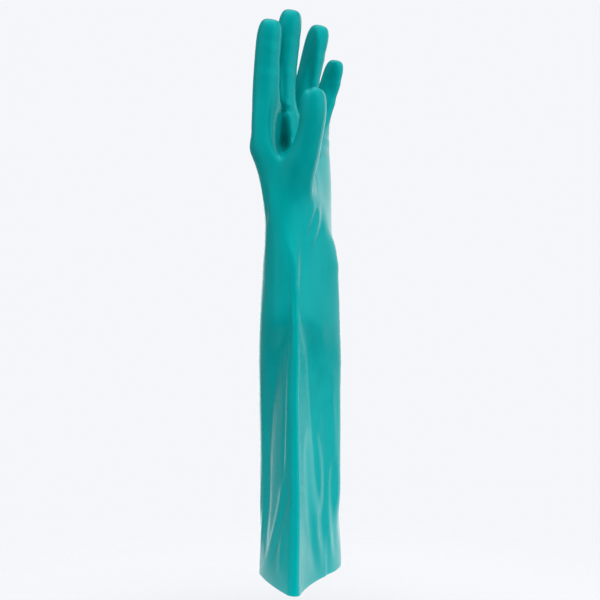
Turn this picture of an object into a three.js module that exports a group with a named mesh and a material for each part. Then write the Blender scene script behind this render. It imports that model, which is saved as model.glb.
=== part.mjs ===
// Long chemical-resistant gauntlet glove for the left hand: one dipped rubber skin, hollow from its open
// cuff to its fingertips. Millimetres, +Z up the forearm towards the fingers. The origin is in the middle of
// the cuff's open end, -Y is the thumb edge and +X is the palm's side.
//
// The skin is worked out in three steps: a coarse cage of four-sided faces, built from the short tables
// below, is smoothed once by Catmull and Clark's rule, the cuff's folds are pressed into it, and the inside
// is the same surface moved inwards by the wall.

import * as THREE from "three";

// Driving dimensions

const WALL = 1.2; // skin thickness
const AROUND = 20; // cage points round the cuff and the palm
const HALF = AROUND / 2; // the point on the little finger's edge; point 0 is on the thumb's edge
const EDGE = 0.92; // how far out, as a share of the half width, the points next to an edge stand
const LIMB_SIDES = 8; // cage points round a finger
const TEAL = new THREE.Color(0.0, 0.3, 0.3);

// Smoothing draws a ring of points inwards. These shares put the smoothed ring back on its true size.
const swellOf = (sides) => 6 / (4 + 2 * Math.cos((2 * Math.PI) / sides));
const BODY_SWELL = swellOf(AROUND);
const LIMB_SWELL = swellOf(LIMB_SIDES);

// Cross-sections of the cuff, the wrist and the palm, from the rim upwards. The cuff is a round tube whose
// spare rubber stands out in one long fold along the thumb's edge.
// z: height. x, y: centre. wide, thick: half sizes across and through. turn: degrees from the cuff's depth
// towards the palm's side. round: 1 is an ellipse, less is boxy. wedge: 1 makes the palm's side slope evenly
// up to its middle. core: half width of the round tube, which ends at the little finger's edge. nose: radius
// of the fold's edge. back, front: how fast the fold thickens away from that edge on either side. fillet: how
// softly it runs into the tube. bow: how far the middle stands forward, towards the palm, of the two edges.
// crowd: how closely the points gather at the thumb's edge. thenar: swell of the thumb's ball. drop: how
// much lower the little finger's edge is.
const COLUMNS = [
  "z", "x", "y", "wide", "thick", "turn", "round", "wedge", "core", "nose", "back", "front", "fillet",
  "bow", "crowd", "thenar", "drop",
];
const SECTIONS = [
  [0, 5.9, -1, 62.2, 31.8, 9.5, 0.85, 0, 37, 3.6, 0.37, 0.33, 4, -11.5, 0.18, 0, 0],
  [7, 5.8, -0.8, 61.8, 31.8, 9.5, 0.85, 0, 37, 3.4, 0.37, 0.33, 4, -11.5, 0.18, 0, 0],
  [30, 5, 0, 59.8, 31.8, 9, 0.85, 0.05, 37, 3.2, 0.32, 0.33, 4, -10.5, 0.18, 0, 0],
  [60, 4, 0, 57.5, 32.2, 8.5, 0.85, 0.12, 36, 3.2, 0.22, 0.28, 4, -9, 0.18, 0, 0],
  [90, 3, 0, 55.5, 32.6, 8, 0.85, 0.3, 36, 3.2, 0.195, 0.225, 4, -7.8, 0.18, 0, 0],
  [120, 2.2, 0, 53.5, 33.2, 8, 0.85, 0.5, 35, 3.2, 0.2, 0.22, 4, -6.5, 0.18, 0, 0],
  [150, 1.8, 0, 51.5, 33.4, 8, 0.85, 0.65, 36, 3.1, 0.207, 0.223, 4, -5.5, 0.18, 0, 0],
  [184, 1.5, 0, 49.2, 33.4, 8, 0.85, 0.75, 39, 2.7, 0.19, 0.2, 5, -4.9, 0.16, 0, 0],
  [207, 1.8, 0, 47.6, 32.8, 9, 0.85, 0.82, 45, 1.2, 0.1, 0.14, 8, -4.5, 0.14, 0, 0],
  [238, 2.8, 0, 46, 30.8, 12, 0.85, 0.9, 45.6, 0, 0, 0, 10, -4, 0.1, 0, 0],
  [264, 1.8, 0, 45, 27.6, 18, 0.85, 0.8, 45, 0, 0, 0, 10, -2.5, 0.05, 1, 0],
  [286, -0.7, 0, 43.5, 22.2, 26, 0.9, 0.4, 43.5, 0, 0, 0, 10, -0.5, 0, 3, 0],
  [305, -1.8, 0, 43, 20, 31, 0.95, 0, 43, 0, 0, 0, 10, 0, 0, 7.5, 0],
  [323, -3, 0, 43, 19.5, 35, 0.9, 0, 43, 0, 0, 0, 10, -1, 0, 10, 0],
  [342, -6.8, 0, 46, 19.2, 38, 0.85, 0, 46, 0, 0, 0, 10, -2, 0, 4, 2],
  [358, -6.8, 0, 46.5, 15.8, 38, 0.8, 0, 46.5, 0, 0, 0, 10, -3, 0, 0, 5],
  [373, -6, 0, 46, 15, 38, 0.75, 0, 46, 0, 0, 0, 10, -3, 0, 0, 9],
].map((row) => Object.fromEntries(COLUMNS.map((name, i) => [name, row[i]])));
const WEDGE_POWER = 1.3; // 1 is a straight slope and 2 a round arch
const PALM = SECTIONS[SECTIONS.length - 1];
const THENAR_AT = -0.55; // the ball's place across the palm, as a share of the half width
const THENAR_SPREAD = 0.45;
const WEB_RISE = 5; // how far the web between two fingers stands above their roots

// The four fingers, from the index finger: where the tip stands, the half width of the tube, how far its
// middle bows backwards, and how flat its two sides towards the other fingers are, 1 being round.
const FINGERS = [
  { name: "index", x: -22.2, y: -34, z: 444, half: 10.3, bow: 2, flat: 1 },
  { name: "middle", x: -6.2, y: -15, z: 456.5, half: 10, bow: 2, flat: 1 },
  { name: "ring", x: 16.8, y: 2, z: 448.5, half: 10.8, bow: 0.5, flat: 0.82 },
  { name: "little", x: 30.4, y: 22, z: 424.5, half: 9.6, bow: -1, flat: 0.78 },
];

// Rings along a finger: share of its length, or distance back from the tip, and share of its half width.
const FINGER_RINGS = [
  { share: 0.16, size: 1.03 },
  { share: 0.42, size: 0.98 },
  { share: 0.68, size: 0.97 },
  { back: 13, size: 0.97 },
  { back: 4.6, size: 0.86 },
  { back: 0.5, size: 0.56 },
];

// The thumb's centre line from the ball to the tip, with its half width.
const THUMB_ROWS = { low: 12, columns: 1 }; // its opening in the cage: two rows up and two points round
const THUMB_RINGS = [
  { x: 2, y: -41, z: 333, half: 12.8 },
  { x: 6.2, y: -47, z: 345, half: 10.3 },
  { x: 8.8, y: -51.5, z: 357, half: 9.9 },
  { x: 10.1, y: -54.5, z: 368, half: 10.5 },
  { x: 10.4, y: -56, z: 377.5, half: 10.2 },
  { x: 10.4, y: -56.6, z: 383.5, half: 7.4 },
];
const THUMB_TIP_RISE = 2.4;

// Smaller folds of the cuff, each along a straight line over the surface.
// at, to: degrees round from the thumb's edge at its lower and upper end, positive on the palm's side.
// low, high: the heights of those ends. wide: half width in degrees. deep: how far it is pressed in, or
// raised where it is negative.
const FOLDS = [
  { name: "palm_side_valley", at: 48, to: 40, low: -60, high: 150, wide: 8, deep: 1.2 },
  { name: "palm_side_ridge", at: 74, to: 62, low: -60, high: 150, wide: 9, deep: -1.1 },
  { name: "back_ridge", at: -58, to: -24, low: -30, high: 80, wide: 7, deep: -1.1 },
  { name: "back_dent", at: -72, to: -60, low: 60, high: 230, wide: 14, deep: 0.8 },
];

// Dents and bulges. way: the level direction that the dent's middle is moved in. from: the depth along that
// way from which it counts. at: its middle, sideways of that way and up. wide, high: half sizes. deep: how
// far the middle moves.
const DENTS = [
  { name: "thumb_web", way: [0, 1], from: -47, at: [-6.5, 355], wide: 5.2, high: 10.5, deep: 7.6 },
  { name: "thumb_web_low", way: [0, 1], from: -49, at: [-12.3, 345.2], wide: 5, high: 7.8, deep: 6 },
  { name: "ring_side", way: [0, 1], from: -9, at: [3, 424], wide: 6, high: 22, deep: 2.4 },
  { name: "little_side", way: [0, 1], from: 10, at: [23.4, 405], wide: 6, high: 14, deep: 2.4 },
  { name: "knuckle", way: [1, 0], from: -90, at: [23.8, 343], wide: 14, high: 6, deep: -1.8 },
  { name: "above_knuckle", way: [1, 0], from: -90, at: [23.8, 352.7], wide: 14, high: 5, deep: 1.2 },
];
const DENT_EDGE = 4; // depth over which a dent comes to count
const FACING_EDGE = 0.15; // how far the skin must face the dent's way for it to count in full

// Small vector helpers

const degrees = (angle) => (angle * Math.PI) / 180;
const mix = (a, b, share) => a.clone().lerp(b, share);

// The point that stands "across" the hand and "forward" of it, at a section turned by "turn".
function turned(section, across, forward, z) {
  const angle = degrees(section.turn);
  return new THREE.Vector3(
    section.x + across * Math.sin(angle) + forward * Math.cos(angle),
    section.y + across * Math.cos(angle) - forward * Math.sin(angle),
    z,
  );
}

// The cage: points, and faces of four points each, counterclockwise from outside

const points = [];
const faces = [];

function add(point) {
  points.push(point);
  return points.length - 1;
}

// A closed row of faces between two rings of equal length, leaving out those in "skip".
function join(lower, upper, skip = () => false) {
  lower.forEach((corner, i) => {
    const next = (i + 1) % lower.length;
    if (!skip(i)) faces.push([corner, lower[next], upper[next], upper[i]]);
  });
}

// Four faces that close a ring of eight round one middle point.
function cap(ring, tip, firstMiddle) {
  for (let i = firstMiddle; i < LIMB_SIDES; i += 2) {
    const corner = (i + 1) % LIMB_SIDES;
    faces.push([ring[i], ring[corner], ring[(corner + 1) % LIMB_SIDES], tip]);
  }
}

// Half thickness of a section at a share of its half width, on the palm's side where front is true: the
// larger of the tube and the fold, with the corner between them filled.
function halfThickness(section, share, front) {
  const off = (section.wide * share - (section.wide - section.core)) / section.core;
  const arch = Math.max(0, 1 - off * off) ** (section.round / 2);
  const roof = Math.max(0, 1 - Math.abs(off) ** WEDGE_POWER);
  const wedge = front ? section.wedge : 0;
  const tube = section.thick * (arch * (1 - wedge) + roof * wedge);
  const fromEdge = section.wide * (1 - Math.abs(share));
  const inNose = Math.min(fromEdge, section.nose);
  const slope = front ? section.front : section.back;
  const fold = Math.sqrt(inNose * (2 * section.nose - inNose)) + slope * fromEdge;
  const corner = Math.max(section.fillet - Math.abs(tube - fold), 0);
  const filling = fold > 0 ? corner ** 2 / (4 * section.fillet) : 0;
  return fromEdge > 0 ? Math.max(tube, fold) + filling : 0;
}

// One ring of the cuff or palm, from the thumb's edge over the palm to the little finger's edge and back
// over the dorsum.
function bodyRing(section) {
  const ring = [];
  for (let i = 0; i < AROUND; i++) {
    const side = i < HALF ? 1 : -1;
    const step = i % HALF;
    const even = step === 0 ? -side : side * EDGE * ((2 * (step - 1)) / (HALF - 2) - 1);
    const share = even - section.crowd * (1 - even * even);
    const half = halfThickness(section, share, side > 0);
    const ball = side > 0 ? section.thenar * Math.exp(-(((share - THENAR_AT) / THENAR_SPREAD) ** 2)) : 0;
    const forward = side * half + ball + section.bow * (1 - share * share);
    const across = section.wide * share;
    const z = section.z - (section.drop * (share + 1)) / 2;
    ring.push(add(turned(section, across * BODY_SWELL, forward * BODY_SWELL, z)));
  }
  return ring;
}

// A ring of eight points round a limb's centre, square to its direction.
// "start" is the direction, in degrees from "side" towards "front", of the first point, and "flat" draws
// the ring in along "side".
function limbRing(centre, direction, side, half, start, flat) {
  const across = side.clone().addScaledVector(direction, -side.dot(direction)).normalize();
  const front = new THREE.Vector3().crossVectors(direction, across);
  const ring = [];
  for (let i = 0; i < LIMB_SIDES; i++) {
    const angle = degrees(start) + (2 * Math.PI * i) / LIMB_SIDES;
    ring.push(
      add(
        centre
          .clone()
          .addScaledVector(across, half * flat * LIMB_SWELL * Math.cos(angle))
          .addScaledVector(front, half * LIMB_SWELL * Math.sin(angle)),
      ),
    );
  }
  return ring;
}

// The rings of a finger's tube along a bowed centre line from its root to its tip, and its closed end.
function finger(spec, root, rootLoop) {
  const tip = new THREE.Vector3(spec.x, spec.y, spec.z);
  const back = turned({ ...PALM, x: 0, y: 0 }, 0, -1, 0);
  const lateral = turned({ ...PALM, x: 0, y: 0 }, 1, 0, 0);
  const middle = mix(root, tip, 0.5).addScaledVector(back, spec.bow * 2);
  const line = new THREE.QuadraticBezierCurve3(root, middle, tip);
  const length = line.getLength();
  let ring = rootLoop;
  for (const { share, back: fromTip, size } of FINGER_RINGS) {
    const along = share ?? 1 - fromTip / length;
    const centre = line.getPointAt(along);
    const direction = line.getTangentAt(along);
    const next = limbRing(centre, direction, lateral, spec.half * size, 180, spec.flat);
    join(ring, next);
    ring = next;
  }
  cap(ring, add(tip), 0);
}

// The thumb, from the opening in the palm's cage to its tip.
function thumb(opening) {
  const centres = THUMB_RINGS.map((row) => new THREE.Vector3(row.x, row.y, row.z));
  const lateral = turned({ ...PALM, x: 0, y: 0 }, 1, 0, 0);
  let ring = opening;
  let direction;
  THUMB_RINGS.forEach((row, i) => {
    const before = centres[Math.max(i - 1, 0)];
    const after = centres[Math.min(i + 1, centres.length - 1)];
    direction = after.clone().sub(before).normalize();
    const next = limbRing(centres[i], direction, lateral, row.half, -135, 1);
    join(ring, next);
    ring = next;
  });
  cap(ring, add(centres[centres.length - 1].clone().addScaledVector(direction, THUMB_TIP_RISE)), 1);
}

function buildCage() {
  const rings = SECTIONS.map(bodyRing);
  const { low, columns } = THUMB_ROWS;
  rings.slice(1).forEach((upper, row) => {
    const inOpening = (i) => row >= low && row < low + 2 && i >= columns && i < columns + 2;
    join(rings[row], upper, inOpening);
  });

  const top = rings[rings.length - 1];
  // Web points: the outer edges of the palm, and one raised point between each two fingers.
  const webs = [top[0]];
  for (let k = 1; k < FINGERS.length; k++) {
    const middle = mix(points[top[1 + 2 * k]], points[top[AROUND - 1 - 2 * k]], 0.5);
    webs.push(add(middle.setZ(middle.z + WEB_RISE)));
  }
  webs.push(top[HALF]);
  FINGERS.forEach((spec, k) => {
    const front = 1 + 2 * k;
    const back = AROUND - 1 - 2 * k;
    const loop = [
      webs[k],
      top[front],
      top[front + 1],
      top[front + 2],
      webs[k + 1],
      top[back - 2],
      top[back - 1],
      top[back],
    ];
    const root = loop
      .reduce((sum, i) => sum.add(points[i]), new THREE.Vector3())
      .divideScalar(loop.length);
    finger(spec, root, loop);
  });

  const [a, b, c] = [rings[low], rings[low + 1], rings[low + 2]];
  const j = columns;
  thumb([a[j], a[j + 1], a[j + 2], b[j + 2], c[j + 2], c[j + 1], c[j], b[j]]);
}

// Catmull and Clark's rule, once: a point for each face, a point for each edge, and each old point moved
// towards their middle. An open edge keeps its own curve.
function smooth(oldPoints, oldFaces) {
  const fresh = oldPoints.map((p) => p.clone());
  const edges = new Map();
  const middles = oldFaces.map((face) => {
    const middle = face
      .reduce((sum, i) => sum.add(oldPoints[i]), new THREE.Vector3())
      .divideScalar(4);
    return fresh.push(middle) - 1;
  });
  oldFaces.forEach((face, f) => {
    face.forEach((from, i) => {
      const to = face[(i + 1) % 4];
      const key = from < to ? `${from},${to}` : `${to},${from}`;
      if (!edges.has(key)) edges.set(key, { from, to, faces: [] });
      edges.get(key).faces.push(middles[f]);
    });
  });
  const around = oldPoints.map(() => ({ faces: new Set(), edges: [] }));
  for (const edge of edges.values()) {
    const middle = mix(oldPoints[edge.from], oldPoints[edge.to], 0.5);
    const open = edge.faces.length === 1;
    const point = open
      ? middle.clone()
      : mix(middle, mix(fresh[edge.faces[0]], fresh[edge.faces[1]], 0.5), 0.5);
    edge.point = fresh.push(point) - 1;
    for (const end of [edge.from, edge.to]) {
      around[end].edges.push({ middle, open });
      edge.faces.forEach((face) => around[end].faces.add(face));
    }
  }
  const average = (list) =>
    list.reduce((sum, p) => sum.add(p), new THREE.Vector3()).divideScalar(list.length);
  oldPoints.forEach((old, i) => {
    const open = around[i].edges.filter((edge) => edge.open);
    if (open.length) {
      fresh[i] = mix(old, average(open.map((edge) => edge.middle)), 0.5);
      return;
    }
    const n = around[i].edges.length;
    fresh[i] = average([...around[i].faces].map((face) => fresh[face]))
      .addScaledVector(average(around[i].edges.map((edge) => edge.middle)), 2)
      .addScaledVector(old, n - 3)
      .divideScalar(n);
  });
  const quads = [];
  oldFaces.forEach((face, f) => {
    const edgePoint = (from, to) => edges.get(from < to ? `${from},${to}` : `${to},${from}`).point;
    face.forEach((corner, i) => {
      const next = face[(i + 1) % 4];
      const last = face[(i + 3) % 4];
      quads.push([corner, edgePoint(corner, next), middles[f], edgePoint(last, corner)]);
    });
  });
  return { points: fresh, faces: quads };
}

// The outward direction at each point: the mean of its faces' directions, weighted by their area.
function outward(skin) {
  const sums = skin.points.map(() => new THREE.Vector3());
  for (const [a, b, c, d] of skin.faces) {
    const across = skin.points[c].clone().sub(skin.points[a]);
    const up = skin.points[d].clone().sub(skin.points[b]);
    const normal = across.cross(up);
    [a, b, c, d].forEach((i) => sums[i].add(normal));
  }
  return sums.map((sum) => sum.normalize());
}

// The section at a height, between the two rows of the table that it lies between.
function sectionAt(z) {
  const upper = Math.max(
    1,
    SECTIONS.findIndex((row) => row.z >= z),
  );
  const a = SECTIONS[upper - 1];
  const b = SECTIONS[upper];
  const share = Math.min(Math.max((z - a.z) / (b.z - a.z), 0), 1);
  return Object.fromEntries(Object.keys(a).map((key) => [key, a[key] + (b[key] - a[key]) * share]));
}

// Degrees round the cuff from the thumb's edge, positive on the palm's side.
function bearing(point) {
  const section = sectionAt(point.z);
  const angle = degrees(section.turn);
  const x = point.x - section.x;
  const y = point.y - section.y;
  const across = (x * Math.sin(angle) + y * Math.cos(angle)) / section.wide;
  const forward = x * Math.cos(angle) - y * Math.sin(angle);
  return (Math.sign(forward) * Math.acos(-Math.min(Math.max(across, -1), 1)) * 180) / Math.PI;
}

// How far all folds together press a point in: each is a bell across its line, faded at both its ends.
function foldDepth(point) {
  const angle = bearing(point);
  return FOLDS.reduce((sum, fold) => {
    const along = (point.z - fold.low) / (fold.high - fold.low);
    const fade = Math.sqrt(Math.max(0, 4 * along * (1 - along)));
    const line = fold.at + (fold.to - fold.at) * along;
    const off = (((angle - line + 540) % 360) - 180) / fold.wide;
    return sum + fold.deep * Math.exp(-off * off) * fade;
  }, 0);
}

// Rises from 0 to 1 as the value does, level at both ends.
function smoothStep(value) {
  const t = Math.min(Math.max(value, 0), 1);
  return t * t * (3 - 2 * t);
}

// How all dents together move a point: each is a bell over the distance from its middle, and only what
// faces against its way and lies deep enough moves.
function dentMove(point, direction) {
  const move = new THREE.Vector3();
  for (const { way, from, at, wide, high, deep } of DENTS) {
    const [x, y] = way;
    const sideways = point.x * y - point.y * x;
    const bell = Math.exp(-(((sideways - at[0]) / wide) ** 2) - ((point.z - at[1]) / high) ** 2);
    const faces = smoothStep(-(direction.x * x + direction.y * y) / FACING_EDGE);
    const depth = smoothStep((point.x * x + point.y * y - from) / DENT_EDGE);
    move.addScaledVector(new THREE.Vector3(x, y, 0), deep * bell * faces * depth);
  }
  return move;
}

// The closed shell between the outer skin and the same skin moved inwards by the wall.
function shell(skin) {
  const count = skin.points.length;
  const directions = outward(skin);
  const inner = skin.points.map((p, i) => p.clone().addScaledVector(directions[i], -WALL));
  const walls = skin.faces.flatMap((face) => [face, face.map((i) => i + count).reverse()]);
  const directed = new Set(skin.faces.flatMap((face) => face.map((a, i) => `${a},${face[(i + 1) % 4]}`)));
  for (const key of directed) {
    const [a, b] = key.split(",").map(Number);
    if (!directed.has(`${b},${a}`)) walls.push([b, a, a + count, b + count]);
  }
  const all = [...skin.points, ...inner];
  const index = walls.flatMap(([a, b, c, d]) =>
    all[a].distanceTo(all[c]) < all[b].distanceTo(all[d])
      ? [a, b, c, a, c, d]
      : [a, b, d, b, c, d],
  );
  const geometry = new THREE.BufferGeometry().setFromPoints(all).setIndex(index);
  geometry.computeVertexNormals();
  return geometry;
}

function buildGlove() {
  buildCage();
  const skin = smooth(points, faces);
  const directions = outward(skin);
  skin.points.forEach((point, i) => {
    const move = dentMove(point, directions[i]);
    point.addScaledVector(directions[i], -foldDepth(point)).add(move);
  });
  const rubber = new THREE.MeshStandardMaterial({ color: TEAL, roughness: 0.55, metalness: 0 });
  const glove = new THREE.Mesh(shell(skin), rubber);
  glove.name = "glove_skin";
  return glove;
}

const assembly = new THREE.Group();
assembly.name = "chemical_glove";
assembly.add(buildGlove());

export default assembly;
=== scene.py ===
"""A long chemical-resistant glove for the left hand, one dipped rubber skin, seen from its thumb's edge.

The skin is worked out in six steps. Rings of points are computed from the short tables below and joined
to a cage of four-sided faces. The cage is subdivided, and the cuff is brought back to its exact outline.
Folds, creases and dents are pressed into it, the wall gets its thickness, and the rubber its finish.
Tables are in millimetres, the scene is in metres.
"""

import bpy
import numpy as np
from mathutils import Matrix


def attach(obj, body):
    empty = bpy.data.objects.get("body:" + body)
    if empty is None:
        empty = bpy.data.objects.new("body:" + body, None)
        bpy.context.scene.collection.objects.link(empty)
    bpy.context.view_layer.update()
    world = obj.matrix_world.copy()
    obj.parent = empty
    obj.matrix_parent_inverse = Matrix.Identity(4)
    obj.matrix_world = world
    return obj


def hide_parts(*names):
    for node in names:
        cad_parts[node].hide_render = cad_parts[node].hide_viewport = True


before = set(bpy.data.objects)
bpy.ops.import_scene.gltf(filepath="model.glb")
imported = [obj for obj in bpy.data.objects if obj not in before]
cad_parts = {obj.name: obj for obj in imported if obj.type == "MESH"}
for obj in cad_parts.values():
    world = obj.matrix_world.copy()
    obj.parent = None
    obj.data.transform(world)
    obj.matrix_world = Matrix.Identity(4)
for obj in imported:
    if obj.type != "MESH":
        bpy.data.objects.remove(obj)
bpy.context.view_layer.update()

MM = 0.001
NODE = "glove_skin"

# Driving sizes of the skin, in millimetres

WALL = 1.0
AROUND = 20  # cage points round the cuff and the palm
HALF = AROUND // 2  # the point on the little finger's edge; point 0 is on the thumb's edge
EDGE = 0.92  # how far out, as a share of the half width, the points next to an edge stand
LIMB_SIDES = 8  # cage points round a finger
SMOOTHING = 3  # times that the cage is subdivided
RIM_ANGLE = 60  # degrees past which an edge stays sharp, as the cut rim's do

# Cross-sections of the cuff, the wrist and the palm, from the rim upwards. The cuff is a round tube whose
# spare rubber stands out in one long fold along the thumb's edge.
# z: height. x, y: centre. wide, thick: half sizes across and through. turn: degrees from the cuff's
# depth towards the palm's side. round: 1 is an ellipse, less is boxy. wedge: 1 makes the palm's side
# slope evenly up to its middle. core: half width of the round tube, which ends at the little finger's
# edge. nose: radius of the fold's edge. back, front: how fast the fold thickens away from that edge on
# the back's side and the palm's. fillet: how softly it runs into the tube. bow: how far the middle stands
# forward, towards the palm, of the two edges. crowd: how closely the points gather at the thumb's edge.
# thenar: swell of the thumb's ball. drop: how much lower the little finger's edge is.
COLUMNS = (
    "z", "x", "y", "wide", "thick", "turn", "round", "wedge", "core", "nose", "back", "front", "fillet",
    "bow", "crowd", "thenar", "drop",
)
SECTIONS = np.array([
    [0, 5.9, -1, 62.2, 31.8, 9.5, 0.85, 0, 37, 3.6, 0.4, 0.37, 4, -11.5, 0.18, 0, 0],
    [7, 5.8, -0.8, 61.8, 31.8, 9.5, 0.85, 0, 37, 3.4, 0.4, 0.37, 4, -11.5, 0.18, 0, 0],
    [30, 5.4, 0, 59.8, 31.6, 9, 0.85, 0.05, 37, 3.2, 0.4, 0.36, 4, -10.5, 0.18, 0, 0],
    [60, 5, 0, 57.5, 31.6, 8.5, 0.85, 0.12, 36, 3.2, 0.38, 0.32, 4, -9, 0.18, 0, 0],
    [90, 4.4, 0, 55.5, 31.6, 8, 0.85, 0.3, 36, 3.2, 0.38, 0.27, 4, -7.8, 0.18, 0, 0],
    [120, 3.4, 0, 53.5, 32.2, 8, 0.85, 0.5, 35, 3.2, 0.38, 0.25, 4, -6.5, 0.18, 0, 0],
    [150, 2.8, 0, 51.5, 32.8, 8, 0.85, 0.65, 36, 3.1, 0.38, 0.223, 4, -5.5, 0.18, 0, 0],
    [184, 3.3, 0, 49.2, 33.6, 8, 0.85, 0.75, 39, 2.7, 0.34, 0.2, 5, -4.9, 0.16, 0, 0],
    [207, 4, 0, 47.6, 32.9, 9, 0.85, 0.82, 45, 1.2, 0.18, 0.14, 8, -4.5, 0.14, 0, 0],
    [238, 4.6, 0, 46, 31.2, 12, 0.85, 0.9, 45.6, 0, 0, 0, 10, -4, 0.1, 0, 0],
    [264, 3.8, 0, 45, 29.2, 18, 0.85, 0.8, 45, 0, 0, 0, 10, -2.5, 0.05, 1, 0],
    [286, 0.9, 0, 43.5, 23.2, 26, 0.9, 0.4, 43.5, 0, 0, 0, 10, -0.5, 0, 3, 0],
    [305, -1.8, 0, 43, 20, 31, 0.95, 0, 43, 0, 0, 0, 10, 0, 0, 7.5, 0],
    [323, -3, 0, 43, 19.5, 35, 0.9, 0, 43, 0, 0, 0, 10, -1, 0, 10, 0],
    [342, -6.8, 0, 46, 19.2, 38, 0.85, 0, 46, 0, 0, 0, 10, -2, 0, 4, 2],
    [358, -6.8, 0, 46.5, 15.8, 38, 0.8, 0, 46.5, 0, 0, 0, 10, -3, 0, 0, 5],
    [373, -6, 0, 46, 15, 38, 0.75, 0, 46, 0, 0, 0, 10, -3, 0, 0, 9],
])
WEDGE_POWER = 1.3  # 1 is a straight roof on the palm's side, more a rounder one
LEAST = 1e-9  # millimetres from the edge, below which a section has no thickness
PALM_TURN = SECTIONS[-1, COLUMNS.index("turn")]
TRUE_FROM = 255  # up to this height the skin keeps to its sections exactly, and above TRUE_TO it doesn't
TRUE_TO = 292
OUTLINE_STEP = 2  # millimetres between the heights at which the cuff's outlines are worked out
OUTLINE_POINTS = 400  # even steps along each outline
SHARE_STEPS = 3000  # finer steps that each outline is first worked out in
THENAR_AT = -0.55  # the ball's place across the palm, as a share of the half width
THENAR_SPREAD = 0.45
WEB_RISE = 5  # how far the web between two fingers stands above their roots

# The four fingers from the index finger: x, y, z of the tip, half width of the tube, how far its middle
# bows backwards, and how flat its two sides towards the other fingers are, 1 being round
FINGERS = {
    "index": (-22.2, -34, 444, 10.3, 2, 1),
    "middle": (-6.2, -15, 456.5, 10, 2, 1),
    "ring": (16.8, 2, 448.5, 10.8, 0.5, 0.75),
    "little": (30.4, 22, 424.5, 9.6, -1, 0.7),
}
# Rings along a finger: place as a share of its length, or near the tip as millimetres back from it, and
# half width as a share of the finger's
FINGER_SHARES = np.array([[0.16, 1.03], [0.42, 0.98], [0.68, 0.97]])
FINGER_BACKS = np.array([[13, 0.97], [4.6, 0.86], [0.5, 0.56]])

# The thumb's centre line from the ball to the tip: x, y, z, half width
THUMB_LINE = np.array([
    [2, -41, 333, 12.8],
    [6.2, -47, 345, 10.3],
    [8.8, -51.5, 357, 9.9],
    [10.1, -54.5, 367, 10.3],
    [10.3, -55.8, 375.5, 9.9],
    [10.4, -56.4, 381, 8.9],
    [10.4, -56.7, 384.5, 6.2],
])
THUMB_ROW = 12  # lower row and first column of its opening in the cage, which is two faces each way
THUMB_COLUMN = 1
FINGER_START = 180  # degrees round a limb at which its first cage point stands
THUMB_START = -135
THUMB_TIP_RISE = 1.5  # how far the tip is past the last ring, as a share of the gap before that ring

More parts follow.
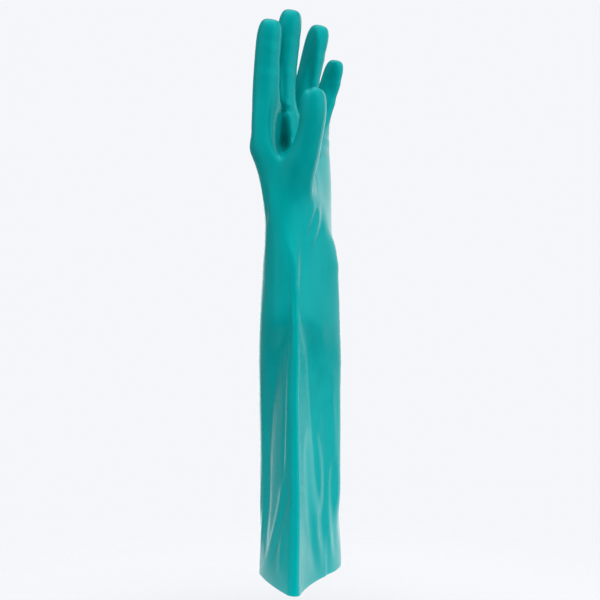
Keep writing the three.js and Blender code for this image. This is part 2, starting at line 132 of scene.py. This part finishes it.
# Folds and creases, each a curve through three places as it is seen from one side of the glove: azimuth
# of that view in degrees (0 is the thumb's edge, 90 the palm), its form, places (across, height) of its
# start, middle and end, half width, and how far it stands out, or is pressed in where it is negative. A
# ridge is a rounded fold, and a kink stands out on the right of its way and is pressed in on the left.
RIDGE = 0
KINK = 1
FOLDS = {
    "edge_flare": (0, KINK, (-12.6, 77.3), (-15.5, 48.8), (-29.3, -4.2), 2.0, 0.9),
    "edge_flare_pleat": (0, RIDGE, (-14.7, 48.8), (-15.5, 24.3), (-17.1, -4.2), 1.8, 0.6),
    "palm_side_valley": (0, KINK, (16.8, -6.0), (8.4, 62.0), (6.8, 128.0), 2.8, 1.3),
    "palm_side_bend": (0, KINK, (12.2, 122.1), (17.1, 89.5), (19.6, 44.7), 2.2, 0.6),
    "palm_side_sharp_line": (0, KINK, (27.0, 105.8), (24.2, 56.9), (29.0, 5.6), 2.2, 0.9),
    "outer_pleat": (0, RIDGE, (24.4, 154.7), (27.7, 101.8), (31.0, 44.7), 3.0, 0.9),
    "edge_line": (0, KINK, (-12.9, 72.0), (-11.2, 140.0), (-10.0, 208.0), 1.0, 0.5),
    "upper_strip": (0, KINK, (-0.8, 279.4), (-0.4, 252.5), (-2.9, 225.6), 2.4, 0.7),
    "upper_thin_line": (0, RIDGE, (-7.3, 276.2), (-6.9, 244.4), (-6.1, 206.1), 0.9, 0.35),
    "pinch_line": (0, KINK, (-4.5, 202.8), (-7.7, 207.7), (-10.6, 233.8), 1.4, 0.5),
    "palm_side_flat": (0, KINK, (11.4, 154.7), (13.0, 183.3), (9.8, 209.3), 4.5, 0.8),
    "palm_side_patch": (0, KINK, (17.9, 140.9), (22.0, 154.7), (17.9, 173.5), 4.0, 0.7),
    "heel_crease_near": (0, KINK, (13.9, 303.9), (9.8, 290.0), (4.1, 274.5), 1.8, 0.9),
    "heel_crease_far": (0, KINK, (16.3, 303.9), (15.5, 284.3), (8.1, 264.7), 1.8, 0.9),
    "index_edge_to_the_web": (0, KINK, (-16.0, 420.0), (-15.2, 402.0), (-14.8, 384.0), 1.8, 0.6),
    "middle_base_crease": (0, KINK, (-11.5, 380.0), (-8.5, 380.5), (-4.0, 379.0), 2.2, -0.9),
    "ring_crease": (0, KINK, (8.5, 386.0), (11.4, 419.0), (13.2, 447.0), 2.6, 1.3),
    "back_wrist_crease": (0, KINK, (-26.9, 321.8), (-25.7, 301.4), (-26.1, 279.4), 1.8, -0.7),
    "palm_cuff_ridge": (90, RIDGE, (12.0, 205.0), (19.0, 110.0), (6.0, 8.0), 8.0, 1.5),
    "palm_cuff_valley": (90, RIDGE, (33.0, 190.0), (38.0, 100.0), (26.0, 8.0), 6.0, -1.4),
    "palm_cuff_bend": (90, KINK, (-10.0, 150.0), (-4.0, 90.0), (-14.0, 20.0), 4.0, 0.8),
    "palm_wrist_crease_low": (90, KINK, (-20.0, 261.0), (0.0, 256.0), (22.0, 264.0), 4.5, 0.3),
    "palm_wrist_crease_high": (90, KINK, (-16.0, 280.0), (4.0, 275.0), (24.0, 284.0), 4.5, 0.3),
    "little_edge_ridge": (180, RIDGE, (8.0, 215.0), (2.0, 120.0), (12.0, 8.0), 7.0, 1.4),
    "little_edge_valley": (180, RIDGE, (-14.0, 190.0), (-10.0, 100.0), (-18.0, 8.0), 6.0, -1.3),
    "little_edge_pinch": (180, KINK, (7.0, 262.0), (1.0, 246.0), (5.0, 226.0), 4.0, 0.45),
    "back_cuff_ridge": (270, RIDGE, (-14.0, 200.0), (-20.0, 100.0), (-8.0, 8.0), 8.0, 1.3),
    "back_cuff_valley": (270, RIDGE, (8.0, 180.0), (3.0, 90.0), (14.0, 8.0), 6.0, -1.2),
    "back_wrist_fold": (270, KINK, (24.0, 276.0), (0.0, 269.0), (-20.0, 279.0), 5.0, 0.4),
    "thumb_ball_line": (52, KINK, (-24.0, 352.0), (-9.0, 338.0), (-13.0, 304.0), 3.0, 0.8),
    "palm_line": (52, KINK, (38.0, 352.0), (4.0, 345.0), (-28.0, 362.0), 3.0, 0.8),
    "index_crease_low": (52, KINK, (-52.0, 405.0), (-42.0, 403.0), (-32.0, 405.0), 3.0, 0.28),
    "index_crease_high": (52, KINK, (-52.0, 426.0), (-42.0, 424.0), (-32.0, 426.0), 3.0, 0.24),
    "middle_crease_low": (52, KINK, (-26.0, 410.0), (-16.0, 408.0), (-6.0, 410.0), 3.0, 0.28),
    "middle_crease_high": (52, KINK, (-26.0, 434.0), (-16.0, 432.0), (-6.0, 434.0), 3.0, 0.24),
    "ring_crease_low": (52, KINK, (2.0, 406.0), (12.0, 404.0), (22.0, 406.0), 3.0, 0.28),
    "ring_crease_high": (52, KINK, (2.0, 428.0), (12.0, 426.0), (22.0, 428.0), 3.0, 0.24),
    "little_crease_low": (52, KINK, (27.0, 394.0), (36.0, 392.0), (45.0, 394.0), 3.0, 0.28),
    "little_crease_high": (52, KINK, (27.0, 410.0), (36.0, 408.0), (45.0, 410.0), 3.0, 0.24),
    "thumb_crease": (130, KINK, (-2.0, 366.0), (8.0, 364.0), (20.0, 366.0), 3.0, 0.3),
}
# Dents and bulges, each seen from one side in the same way: azimuth, depth behind the glove's axis from
# which it counts, place of its middle (across, height), half width, half height, and how far its middle
# is moved away from the eye, or towards it where negative
DENTS = {
    "thumb_web": (0, -47, (-14.4, 359.5), 4.7, 15.0, 14.3),
    "thumb_web_low": (0, -49, (-13.2, 352.0), 4.8, 8.0, 12.5),
    "thumb_web_high": (0, -45, (-14.9, 372.0), 3.4, 9.5, 5.0),
    "ring_left_side": (0, -9, (2.6, 422.0), 6.5, 26.0, 3.8),
    "little_left_side": (0, 10, (23.4, 402.0), 6.5, 17.0, 3.4),
    "knuckle": (270, -90, (25.0, 348.0), 14.0, 8.0, -1.3),
    "above_knuckle": (270, -90, (25.0, 362.0), 14.0, 6.0, 0.5),
}
DENT_EDGE = 4  # millimetres of depth over which a dent comes to count
DENT_FACING = 0.7  # how far a face has to turn to the eye, as a cosine, for a dent to move it fully
FOLD_FACING = 0.15  # the same for a fold
FOLD_FADE = 0.25  # share of a fold's line over which it fades at either end
VIEW_DISTANCE = 850  # from the glove's axis to the eye that the folds are drawn for, and its height
VIEW_HEIGHT = 224
CURVE_STEPS = 16  # straight steps that a fold's curve is taken as


def ring_swell(sides):
    """Subdividing draws a ring of points inwards. This share puts the smoothed ring back on its size: six
    over four plus twice the cosine of one step."""
    return 6 / (4 + 2 * np.cos(2 * np.pi / sides))


def half_thickness(section, share, front):
    """Half thickness at a share of the half width, on the palm's side where front is true: the larger of
    the round tube and the flat fold, with the corner between them filled. The tube is an arch that the
    wedge turns into a roof. The fold's nose is a quarter circle, and its flank widens by a slope."""
    off = (section["wide"] * share - (section["wide"] - section["core"])) / section["core"]
    arch = np.maximum(0, 1 - off**2) ** (section["round"] / 2)
    roof = np.maximum(0, 1 - np.abs(off) ** WEDGE_POWER)
    wedge = section["wedge"] * front
    tube = section["thick"] * (arch * (1 - wedge) + roof * wedge)
    from_edge = section["wide"] * (1 - np.abs(share))
    in_nose = np.minimum(from_edge, section["nose"])
    slope = np.where(front, section["front"], section["back"])
    fold = np.sqrt(in_nose * (2 * section["nose"] - in_nose)) + slope * from_edge
    corner = np.maximum(section["fillet"] - np.abs(tube - fold), 0)
    filled = np.maximum(tube, fold) + np.where(fold > 0, corner**2 / (4 * section["fillet"]), 0)
    return np.where(from_edge > LEAST, filled, 0)


def ball_swell(section, share, front):
    """How far the thumb's ball stands forward at a share of the half width: a bell on the palm's side."""
    return section["thenar"] * np.exp(-(((share - THENAR_AT) / THENAR_SPREAD) ** 2)) * front


def body_rings():
    """Rings of the cuff and palm as an array (sections, AROUND, 3). A point stands "across" by its share
    of the half width and "forward" by the half thickness, the thumb's ball and the bow of the section."""
    section = {name: SECTIONS[:, i, None] for i, name in enumerate(COLUMNS)}
    place = np.arange(AROUND)
    side = np.where(place < HALF, 1, -1)
    step = place % HALF
    even = np.where(step == 0, -side, side * EDGE * (2 * (step - 1) / (HALF - 2) - 1))
    share = even - section["crowd"] * (1 - even**2)
    thickness = half_thickness(section, share, side > 0)
    ball = ball_swell(section, share, side > 0)
    forward = side * thickness + ball + section["bow"] * (1 - share**2)
    across = section["wide"] * share
    turn = np.radians(section["turn"])
    swell = ring_swell(AROUND)
    x = section["x"] + swell * (across * np.sin(turn) + forward * np.cos(turn))
    y = section["y"] + swell * (across * np.cos(turn) - forward * np.sin(turn))
    z = section["z"] - section["drop"] * (share + 1) / 2
    return np.stack([x, y, z], axis=-1)


def palm_directions():
    """Unit vectors across the palm, towards the little finger, and forward of it."""
    turn = np.radians(PALM_TURN)
    across = np.array([np.sin(turn), np.cos(turn), 0])
    forward = np.array([np.cos(turn), -np.sin(turn), 0])
    return across, forward


def limb_rings(centres, directions, halves, start, flat):
    """Rings of eight points round a centre line, square to its direction: centre plus the half width
    times the cosine along the palm's width, drawn in where the limb is flat, and the sine along the other
    direction. Array (rings, 8, 3)."""
    across, _ = palm_directions()
    directions = directions / np.linalg.norm(directions, axis=1, keepdims=True)
    side = across - directions * (directions @ across)[:, None]
    side /= np.linalg.norm(side, axis=1, keepdims=True)
    front = np.cross(directions, side)
    angle = np.radians(start) + 2 * np.pi * np.arange(LIMB_SIDES) / LIMB_SIDES
    radius = (halves * ring_swell(LIMB_SIDES))[:, None, None]
    wide = side[:, None] * np.cos(angle)[None, :, None] * flat
    turned = wide + front[:, None] * np.sin(angle)[None, :, None]
    return centres[:, None] + radius * turned


def ring_faces(rings):
    """Closed rows of faces between rings of point numbers: each joins a step of one ring to the same step
    of the next."""
    onward = np.roll(rings, -1, axis=1)
    faces = np.stack([rings[:-1], onward[:-1], onward[1:], rings[1:]], axis=-1)
    return faces.reshape(-1, 4)


class Cage:
    """Points and four-sided faces, in millimetres, counterclockwise from outside."""

    def __init__(self):
        self.points = np.empty((0, 3))
        self.faces = np.empty((0, 4), int)

    def add(self, points):
        """Adds an array of points of any shape and returns their numbers in that shape."""
        points = np.asarray(points, float)
        first = len(self.points)
        self.points = np.concatenate([self.points, points.reshape(-1, 3)])
        return first + np.arange(points[..., 0].size).reshape(points.shape[:-1])

    def close(self, faces):
        """Adds faces."""
        self.faces = np.concatenate([self.faces, faces])

    def limb(self, opening, rings, tip, first_middle):
        """A tube from an opening of eight points over its rings to a tip, closed by four faces."""
        numbers = np.concatenate([opening[None], self.add(rings)])
        self.close(ring_faces(numbers))
        tip_number = self.add(tip)
        last = numbers[-1]
        corners = (first_middle + np.arange(0, LIMB_SIDES, 2)[:, None] + np.arange(3)) % LIMB_SIDES
        self.close(np.column_stack([last[corners], np.full(len(corners), tip_number)]))


def add_finger(cage, opening, tip, half, bow, flat):
    """A finger's centre line is a quadratic curve from the opening's middle to the tip, and its middle
    point is pulled backwards by twice the bow. The finger's rings stand square to that line."""
    _, forward = palm_directions()
    root = cage.points[opening].mean(axis=0)
    middle = (root + tip) / 2 - forward * bow * 2
    length = np.linalg.norm(tip - root)
    backs = np.column_stack([1 - FINGER_BACKS[:, 0] / length, FINGER_BACKS[:, 1]])
    along, size = np.concatenate([FINGER_SHARES, backs]).T
    t = along[:, None]
    centres = (1 - t) ** 2 * root + 2 * t * (1 - t) * middle + t**2 * tip
    directions = (1 - t) * (middle - root) + t * (tip - middle)
    rings = limb_rings(centres, directions, half * size, FINGER_START, flat)
    cage.limb(opening, rings, tip, 0)


def add_thumb(cage, opening):
    """The thumb's rings follow the points of its centre line, square to the line between their
    neighbours."""
    centres = THUMB_LINE[:, :3]
    padded = np.concatenate([centres[:1], centres, centres[-1:]])
    directions = padded[2:] - padded[:-2]
    tip = centres[-1] + THUMB_TIP_RISE * directions[-1] / np.linalg.norm(directions[-1])
    cage.limb(opening, limb_rings(centres, directions, THUMB_LINE[:, 3], THUMB_START, 1), tip, 1)


def glove_cage():
    """The body's rings with the thumb's opening left out, the webs between the fingers, and the limbs."""
    cage = Cage()
    body = cage.add(body_rings())
    faces = ring_faces(body).reshape(len(body) - 1, AROUND, 4)
    kept = np.ones(faces.shape[:2], bool)
    rows = slice(THUMB_ROW, THUMB_ROW + 2)
    columns = slice(THUMB_COLUMN, THUMB_COLUMN + 2)
    kept[rows, columns] = False
    cage.close(faces[kept])

    top = body[-1]
    between = np.arange(1, len(FINGERS))
    web_points = (cage.points[top[1 + 2 * between]] + cage.points[top[AROUND - 1 - 2 * between]]) / 2
    raised = cage.add(web_points + [0, 0, WEB_RISE])
    webs = np.concatenate([top[:1], raised, top[HALF:HALF + 1]])
    for k, (x, y, z, half, bow, flat) in enumerate(FINGERS.values()):
        front = top[1 + 2 * k:4 + 2 * k]
        back = top[AROUND - 3 - 2 * k:AROUND - 2 * k]
        opening = np.concatenate([webs[k:k + 1], front, webs[k + 1:k + 2], back])
        add_finger(cage, opening, np.array([x, y, z]), half, bow, flat)

    low, middle, high = body[THUMB_ROW:THUMB_ROW + 3, THUMB_COLUMN:THUMB_COLUMN + 3]
    add_thumb(cage, np.concatenate([low, middle[2:], high[::-1], middle[:1]]))
    return cage


def mesh_object(name, points, faces):
    """A new object in the scene from arrays of points in metres and of four-sided faces."""
    mesh = bpy.data.meshes.new(name)
    mesh.from_pydata(points.tolist(), [], faces.tolist())
    mesh.update()
    piece = bpy.data.objects.new(name, mesh)
    bpy.context.scene.collection.objects.link(piece)
    return piece


def settle(piece):
    """Replaces the object's mesh by what its modifiers make of it."""
    depsgraph = bpy.context.evaluated_depsgraph_get()
    mesh = bpy.data.meshes.new_from_object(piece.evaluated_get(depsgraph))
    piece.modifiers.clear()
    old = piece.data
    piece.data = mesh
    bpy.data.meshes.remove(old)
    mesh.name = piece.name


def vertex_array(mesh, what):
    """Places ("co") or outward directions ("normal") of all vertices as one array."""
    values = np.empty(len(mesh.vertices) * 3)
    mesh.vertices.foreach_get(what, values)
    return values.reshape(-1, 3)


def place_vertices(mesh, points):
    """Puts all vertices at the points of an array in millimetres."""
    mesh.vertices.foreach_set("co", (points * MM).ravel())
    mesh.update()


def smooth_step(value):
    """Rises from 0 to 1 as the value does, level at both ends."""
    t = np.clip(value, 0, 1)
    return t * t * (3 - 2 * t)


def section_at(heights):
    """The table's values at any height, on a smooth curve through its rows: a cubic between two rows that
    keeps each row's slope, which is that of the line between its neighbours."""
    z = SECTIONS[:, 0]
    slopes = np.gradient(SECTIONS, z, axis=0)
    row = np.clip(np.searchsorted(z, heights) - 1, 0, len(z) - 2)
    gap = (z[row + 1] - z[row])[:, None]
    t = np.clip((heights - z[row])[:, None] / gap, 0, 1)
    rest = 1 - t
    values = (
        rest**2 * (1 + 2 * t) * SECTIONS[row]
        + t**2 * (1 + 2 * rest) * SECTIONS[row + 1]
        + t * rest**2 * gap * slopes[row]
        - t**2 * rest * gap * slopes[row + 1]
    )
    return {name: values[:, i] for i, name in enumerate(COLUMNS)}


def cuff_outlines():
    """Closed outlines of the cuff at even steps of height, as across and forward. Each is worked out at
    shares that stand closer at both edges, and then at even steps along its own length."""
    heights = np.arange(0, TRUE_TO + 2 * OUTLINE_STEP, OUTLINE_STEP)
    section = {name: value[:, None] for name, value in section_at(heights).items()}
    angle = np.linspace(0, 2 * np.pi, SHARE_STEPS)
    share = -np.cos(angle)[None]
    front = angle < np.pi
    thickness = half_thickness(section, share, front)
    forward = np.where(front, thickness, -thickness) + section["bow"] * (1 - share**2)
    forward += ball_swell(section, share, front)
    across = section["wide"] * share
    length = np.cumsum(np.hypot(np.diff(across), np.diff(forward)), axis=1)
    length = np.column_stack([np.zeros(len(heights)), length])
    even = np.linspace(0, 1, OUTLINE_POINTS)
    rows = [
        np.column_stack([np.interp(even * run[-1], run, a), np.interp(even * run[-1], run, f)])
        for run, a, f in zip(length, across, forward)
    ]
    return np.array(rows, np.float32)


def true_to_section(points):
    """The coarse cage rounds the corners where the long fold leaves the tube. Below TRUE_FROM each point
    moves to the nearest place on the outline at its own height, and less from there up to TRUE_TO."""
    low = np.flatnonzero(points[:, 2] < TRUE_TO)
    heights = np.maximum(points[low, 2], 0)
    section = section_at(heights)
    turn = np.radians(section["turn"])
    x = points[low, 0] - section["x"]
    y = points[low, 1] - section["y"]
    place = np.column_stack([x * np.sin(turn) + y * np.cos(turn), x * np.cos(turn) - y * np.sin(turn)])
    outlines = cuff_outlines()
    step = np.floor(heights / OUTLINE_STEP).astype(int)
    rest = (heights / OUTLINE_STEP - step)[:, None, None].astype(np.float32)
    around = outlines[step] * (1 - rest) + outlines[step + 1] * rest
    nearest = ((around - place[:, None].astype(np.float32)) ** 2).sum(axis=2).argmin(axis=1)
    move = around[np.arange(len(low)), nearest] - place
    move *= smooth_step((TRUE_TO - heights) / (TRUE_TO - TRUE_FROM))[:, None]
    moved = points.copy()
    moved[low, 0] += move[:, 0] * np.sin(turn) + move[:, 1] * np.cos(turn)
    moved[low, 1] += move[:, 0] * np.cos(turn) - move[:, 1] * np.sin(turn)
    return moved


def seen_from(points, azimuth):
    """Places across and up of points as an eye at that side sees them, on the plane of the glove's axis:
    both are drawn apart by the viewing distance over the point's own distance."""
    angle = np.radians(azimuth)
    across = points[:, 0] * np.cos(angle) + points[:, 1] * np.sin(angle)
    nearer = points[:, 0] * np.sin(angle) - points[:, 1] * np.cos(angle)
    grown = VIEW_DISTANCE / (VIEW_DISTANCE - nearer)
    return np.column_stack([across * grown, VIEW_HEIGHT + (points[:, 2] - VIEW_HEIGHT) * grown])


def beside_curve(places, start, middle, end):
    """For each place, its distance to the quadratic curve through three points, positive on the right of
    the curve's way, and how far along the curve it lies, from 0 to 1. The curve is taken as short
    straight steps, and the nearest one counts."""
    start, middle, end = (np.array(p, float) for p in (start, middle, end))
    t = np.linspace(0, 1, CURVE_STEPS + 1)[:, None]
    pull = 2 * middle - (start + end) / 2
    curve = (1 - t) ** 2 * start + 2 * t * (1 - t) * pull + t**2 * end
    step = np.diff(curve, axis=0)
    offset = places[:, None] - curve[None, :-1]
    within = np.clip((offset * step).sum(-1) / (step**2).sum(-1), 0, 1)
    gap = offset - within[..., None] * step
    distance = np.hypot(gap[..., 0], gap[..., 1])
    nearest = distance.argmin(axis=1)
    rows = np.arange(len(places))
    side = step[nearest, 1] * offset[rows, nearest, 0] - step[nearest, 0] * offset[rows, nearest, 1]
    return np.sign(side) * distance[rows, nearest], (nearest + within[rows, nearest]) / CURVE_STEPS


def fold_heights(points, normals):
    """How far all folds together raise each point. Across its line a ridge is a bell, and a kink the slope
    of a bell, with its highest value at the half width. Both fade at the two ends of the line, and count
    only where the surface faces the side that the fold is drawn from."""
    total = np.zeros(len(points))
    for azimuth, form, start, middle, end, width, rise in FOLDS.values():
        angle = np.radians(azimuth)
        facing = normals[:, 0] * np.sin(angle) - normals[:, 1] * np.cos(angle)
        distance, along = beside_curve(seen_from(points, azimuth), start, middle, end)
        off = distance / width
        ridge = np.exp(-(off**2))
        kink = off * np.exp((1 - off**2) / 2)
        fade = smooth_step(np.minimum(along, 1 - along) / FOLD_FADE)
        shape = np.where(form == RIDGE, ridge, kink)
        total += rise * shape * fade * smooth_step(facing / FOLD_FACING)
    return total


def dent_moves(points, normals):
    """How all dents together move each point, straight away from the eye of their view: a bell over the
    distance from the dent's middle, each way as a share of its half size. Only what faces the eye and
    lies deep enough moves."""
    moves = np.zeros_like(points)
    for azimuth, beyond, middle, half_width, half_height, depth in DENTS.values():
        angle = np.radians(azimuth)
        away = np.array([-np.sin(angle), np.cos(angle), 0])
        off = (seen_from(points, azimuth) - middle) / (half_width, half_height)
        bell = np.exp(-(off**2).sum(axis=1))
        faces = smooth_step(-(normals @ away) / DENT_FACING)
        lies = smooth_step((points @ away - beyond) / DENT_EDGE)
        moves += away * (depth * bell * faces * lies)[:, None]
    return moves


def glove_skin():
    """The whole skin: the cage subdivided and brought to its outline, its folds raised along the outward
    directions and its dents pressed in, then its wall."""
    cage = glove_cage()
    piece = mesh_object("dipped_glove", cage.points * MM, cage.faces)
    subdivision = piece.modifiers.new("smooth", "SUBSURF")
    subdivision.levels = SMOOTHING
    subdivision.render_levels = SMOOTHING
    settle(piece)
    mesh = piece.data
    points = true_to_section(vertex_array(mesh, "co") / MM)
    place_vertices(mesh, points)
    normals = vertex_array(mesh, "normal")
    raised = points + normals * fold_heights(points, normals)[:, None]
    place_vertices(mesh, raised + dent_moves(points, normals))
    wall = piece.modifiers.new("wall", "SOLIDIFY")
    wall.thickness = WALL * MM
    wall.offset = -1
    settle(piece)
    piece.data.shade_smooth()
    piece.data.set_sharp_from_angle(angle=np.radians(RIM_ANGLE))
    return piece


# The rubber's finish. Sizes are the rough sizes of its clouds along each axis, in metres
PALE_TEAL = (0.0, 0.385, 0.39, 1)
DEEP_TEAL = (0.0, 0.335, 0.34, 1)
GLOSS = (0.19, 0.27)  # range of the roughness
RIM_HIGHLIGHT_BAND = 0.004  # metres above the cut rim that are painted paler: a painted highlight along the rim's edge
# how much paler the painted rim highlight makes the tone, as a share of its range
RIM_HIGHLIGHT = 0.5
CLOUD_SIZE = (0.05, 0.05, 0.08)
CLOUD_SHARE = 0.7  # how much of the colour's change is from clouds, the rest being from runs
RUN_SIZE = (0.006, 0.006, 0.12)
RUN_SHARE = 0.3
RUB_SIZE = (0.03, 0.03, 0.04)
PEEL_SIZE = (0.0016, 0.0016, 0.0016)
PEEL_DEPTH = 0.000012
RUN_DEPTH = 0.00003
NOISE_MIDDLE = (0.35, 0.65)  # where nearly all of a noise's values lie


def node(tree, kind, **values):
    """A new node of one kind, with its sockets and settings given by name or, as input_2, by number."""
    made = tree.nodes.new(kind)
    for name, value in values.items():
        if name.startswith("input_"):
            made.inputs[int(name[6:])].default_value = value
        else:
            setattr(made, name, value)
    return made


def link(tree, source, target, output=0, entry=0):
    """Joins one node's output to another's input, each by name or number."""
    tree.links.new(source.outputs[output], target.inputs[entry])


def math(tree, operation, first, second, clamp=False):
    """A Math node over two values, each a number or another node's first output."""
    made = node(tree, "ShaderNodeMath", operation=operation, use_clamp=clamp)
    for entry, value in enumerate((first, second)):
        if isinstance(value, (int, float)):
            made.inputs[entry].default_value = value
        else:
            link(tree, value, made, 0, entry)
    return made


def noise(tree, place, size, detail):
    """A Noise Texture whose clouds are about as large as the size in metres along each axis."""
    scale = node(tree, "ShaderNodeVectorMath", operation="DIVIDE", input_1=size)
    link(tree, place, scale, "Object", 0)
    clouds = node(tree, "ShaderNodeTexNoise")
    clouds.inputs["Scale"].default_value = 1
    clouds.inputs["Detail"].default_value = detail
    link(tree, scale, clouds, 0, "Vector")
    return clouds


def spread(tree, source, low, high):
    """Maps the middle of a noise, where nearly all of it lies, onto the range from low to high."""
    span = node(tree, "ShaderNodeMapRange")
    span.inputs["From Min"].default_value = NOISE_MIDDLE[0]
    span.inputs["From Max"].default_value = NOISE_MIDDLE[1]
    span.inputs["To Min"].default_value = low
    span.inputs["To Max"].default_value = high
    link(tree, source, span, "Fac", "Value")
    return span


def rubber():
    """Satin dipped rubber: cloudy teal with faint runs down the glove, a painted highlight as a narrow
    paler band along its cut rim, and a finely orange-peeled surface whose gloss is rubbed in places."""
    material = bpy.data.materials.new("satin_rubber")
    material.use_nodes = True
    tree = material.node_tree
    shader = tree.nodes["Principled BSDF"]
    shader.inputs["IOR"].default_value = 1.4
    shader.inputs["Specular Tint"].default_value = (0.08, 1, 1, 1)
    shader.inputs["Sheen Weight"].default_value = 0.02
    shader.inputs["Sheen Roughness"].default_value = 0.25
    shader.inputs["Sheen Tint"].default_value = (0.6, 1, 1, 1)
    place = node(tree, "ShaderNodeTexCoord")
    clouds = noise(tree, place, CLOUD_SIZE, 3)
    runs = noise(tree, place, RUN_SIZE, 2)
    rubbed = noise(tree, place, RUB_SIZE, 5)
    peel = noise(tree, place, PEEL_SIZE, 2)

    height = node(tree, "ShaderNodeSeparateXYZ")
    link(tree, place, height, "Object", 0)
    # The narrow paler band at the cut rim is a painted highlight along the rim's edge.
    rim_highlight = node(tree, "ShaderNodeMapRange", interpolation_type="SMOOTHSTEP")
    rim_highlight.inputs["From Min"].default_value = RIM_HIGHLIGHT_BAND
    rim_highlight.inputs["From Max"].default_value = 0
    link(tree, height, rim_highlight, "Z", "Value")
    depth = math(tree, "ADD", spread(tree, clouds, 0, CLOUD_SHARE), spread(tree, runs, 0, RUN_SHARE))
    deep = math(tree, "SUBTRACT", depth, math(tree, "MULTIPLY", rim_highlight, RIM_HIGHLIGHT), True)
    tone = node(tree, "ShaderNodeValToRGB")
    tone.color_ramp.elements[0].color = PALE_TEAL
    tone.color_ramp.elements[1].color = DEEP_TEAL
    link(tree, deep, tone)
    link(tree, tone, shader, "Color", "Base Color")

    link(tree, spread(tree, rubbed, *GLOSS), shader, 0, "Roughness")
    relief = math(tree, "ADD", spread(tree, peel, 0, PEEL_DEPTH), spread(tree, runs, 0, RUN_DEPTH))
    bump = node(tree, "ShaderNodeBump")
    bump.inputs["Strength"].default_value = 1
    bump.inputs["Distance"].default_value = 1
    link(tree, relief, bump, 0, "Height")
    link(tree, bump, shader, 0, "Normal")
    return material


# Soft panels of the studio: the direction that they stand in, degrees to the inner and the outer edge of
# their soft border, and their brightness above the even light
PANELS = {
    "behind_right": ((0.62, 0.78, -0.02), 20, 44, 1.1),
    "behind_left": ((-0.18, 0.98, -0.06), 8, 24, 2.1),
    "left": ((-0.9, -0.45, 0.1), 10, 40, 0.65),
    "right": ((0.9, -0.45, 0.1), 10, 45, 1.45),
    "front": ((0, -1, 0.2), 20, 80, 0.24),
    "above": ((0, -0.3, 1), 15, 60, 2.05),
}
EVEN_LIGHT = 0.13
ROOM_WHITE = (1, 1, 1, 1)
BACKDROP = (0.913, 0.922, 0.956, 1)


def studio_light():
    """The even light of a pale room plus its soft panels: each adds its brightness where the direction of
    view lies within its inner edge, and less towards its outer edge. Seen directly the room is plain."""
    world = bpy.data.worlds.new("studio")
    world.use_nodes = True
    tree = world.node_tree
    direction = node(tree, "ShaderNodeTexCoord")
    total = EVEN_LIGHT
    for toward, inner, outer, brightness in PANELS.values():
        unit = np.array(toward) / np.linalg.norm(toward)
        along = node(tree, "ShaderNodeVectorMath", operation="DOT_PRODUCT", input_1=unit.tolist())
        link(tree, direction, along, "Generated", 0)
        border = node(tree, "ShaderNodeMapRange", interpolation_type="SMOOTHSTEP")
        border.inputs["From Min"].default_value = np.cos(np.radians(outer))
        border.inputs["From Max"].default_value = np.cos(np.radians(inner))
        border.inputs["To Max"].default_value = brightness
        link(tree, along, border, "Value", "Value")
        total = math(tree, "ADD", border, total)
    lighting = tree.nodes["Background"]
    lighting.inputs["Color"].default_value = ROOM_WHITE
    link(tree, total, lighting, 0, "Strength")
    seen = node(tree, "ShaderNodeBackground")
    seen.inputs["Color"].default_value = BACKDROP
    path = node(tree, "ShaderNodeLightPath")
    either = node(tree, "ShaderNodeMixShader")
    link(tree, path, either, "Is Camera Ray", 0)
    link(tree, lighting, either, 0, 1)
    link(tree, seen, either, 0, 2)
    link(tree, either, tree.nodes["World Output"])
    bpy.context.scene.world = world


FLOOR_DROP = 0.06  # metres from the rim down to the floor
FLOOR_HALF = 12
FLOOR_GREY = (0.79, 0.8, 0.825, 1)
FLOOR_ROUGHNESS = 0.9
FADE_FROM = 0.12  # metres from the middle, where the floor starts to pass into the backdrop
FADE_TO = 0.55


def floor():
    """A plain pale floor that fades softly into the backdrop away from the glove."""
    square = np.array([[-1, -1, 0], [1, -1, 0], [1, 1, 0], [-1, 1, 0]])
    corners = square * FLOOR_HALF - [0, 0, FLOOR_DROP]
    piece = mesh_object("floor", corners, np.array([[0, 1, 2, 3]]))
    material = bpy.data.materials.new("pale_floor")
    material.use_nodes = True
    tree = material.node_tree
    shader = tree.nodes["Principled BSDF"]
    shader.inputs["Base Color"].default_value = FLOOR_GREY
    shader.inputs["Roughness"].default_value = FLOOR_ROUGHNESS
    place = node(tree, "ShaderNodeTexCoord")
    distance = node(tree, "ShaderNodeVectorMath", operation="LENGTH")
    link(tree, place, distance, "Object", 0)
    fade = node(tree, "ShaderNodeMapRange", interpolation_type="SMOOTHSTEP")
    fade.inputs["From Min"].default_value = FADE_FROM
    fade.inputs["From Max"].default_value = FADE_TO
    link(tree, distance, fade, "Value", "Value")
    far = node(tree, "ShaderNodeBsdfTransparent")
    blend = node(tree, "ShaderNodeMixShader")
    link(tree, fade, blend, 0, 0)
    link(tree, shader, blend, 0, 1)
    link(tree, far, blend, 0, 2)
    link(tree, blend, tree.nodes["Material Output"])
    piece.data.materials.append(material)


LENS = 62.6  # millimetres, on a sensor of the given width
SENSOR = 36


def camera():
    """Stands where the folds are drawn for, level, in front of the thumb's edge."""
    data = bpy.data.cameras.new("camera")
    data.lens = LENS
    data.sensor_width = SENSOR
    body = bpy.data.objects.new("camera", data)
    body.location = (0, -VIEW_DISTANCE * MM, VIEW_HEIGHT * MM)
    body.rotation_euler = (np.pi / 2, 0, 0)
    bpy.context.scene.collection.objects.link(body)
    bpy.context.scene.camera = body


camera()
skin = glove_skin()
skin.data.materials.append(rubber())
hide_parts(NODE)
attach(skin, "root")
studio_light()
floor()
bpy.context.scene.view_settings.view_transform = "Standard"
